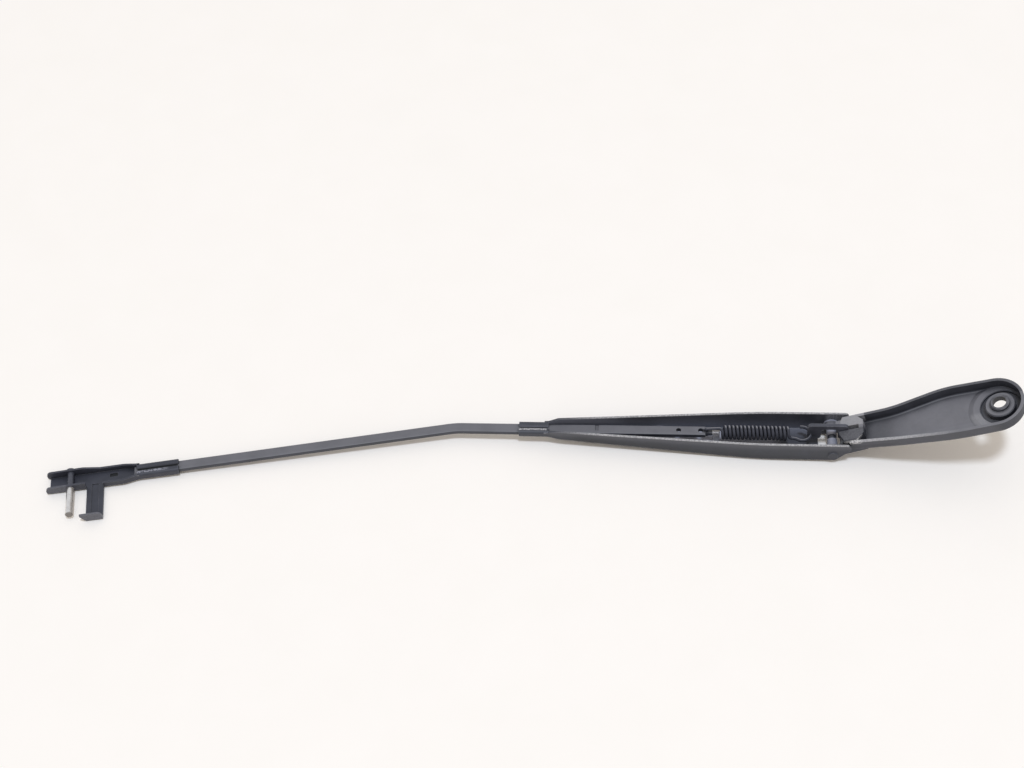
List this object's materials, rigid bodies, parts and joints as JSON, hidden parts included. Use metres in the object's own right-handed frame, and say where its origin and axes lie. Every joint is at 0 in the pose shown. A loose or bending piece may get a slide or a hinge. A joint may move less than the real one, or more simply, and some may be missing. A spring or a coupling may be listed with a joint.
{
  "type": "wiper arm",
  "caption": "Front wiper arm with a hinged mounting head, sprung channel retainer, cranked flat rod and a side-pin blade bracket with a hook.",
  "frame": {"origin": "middle of the spindle bore in the mounting head", "axes": "+X from the blade end towards the mounting head, +Z out of the underside of the arm (the side that faces the glass), so the arm lies on its back; +Y completes the frame, and the rod bends to -Y"},
  "size_m": [0.5861, 0.0902, 0.054],
  "materials": {
    "black_paint": "satin",
    "worn_paint": "satin",
    "spring_steel": "satin",
    "bright_steel": "satin",
    "dull_steel": "satin"
  },
  "bodies": {
    "arm": {"retainer": "black_paint", "rod": "black_paint", "blade_bracket": "black_paint", "blade_pin": "bright_steel", "pivot_rivet": "worn_paint"},
    "head": {"mounting_head": "black_paint", "link_pin": "dull_steel", "near_bush": "dull_steel", "far_bush": "dull_steel"},
    "link": {"spring_link": "worn_paint", "tension_spring": "spring_steel"}
  },
  "joints": [
    {"name": "arm_lift", "type": "hinge", "parent": "arm", "child": "head", "pos_m": [-0.09309, 0.001, -0.03902], "axis": [0, 1, 0], "range_deg": [0, 60], "stiffness_Nm_per_rad": 2, "springref_deg": -57.3},
    {"name": "link_swing", "type": "hinge", "parent": "arm", "child": "link", "pos_m": [-0.17237, 0.001, -0.03563], "axis": [0, 1, 0], "range_deg": [0, 4.88]}
  ],
  "couplings": [
    {"joint": "link_swing", "follows": "arm_lift", "ratio": 0.08135}
  ]
}
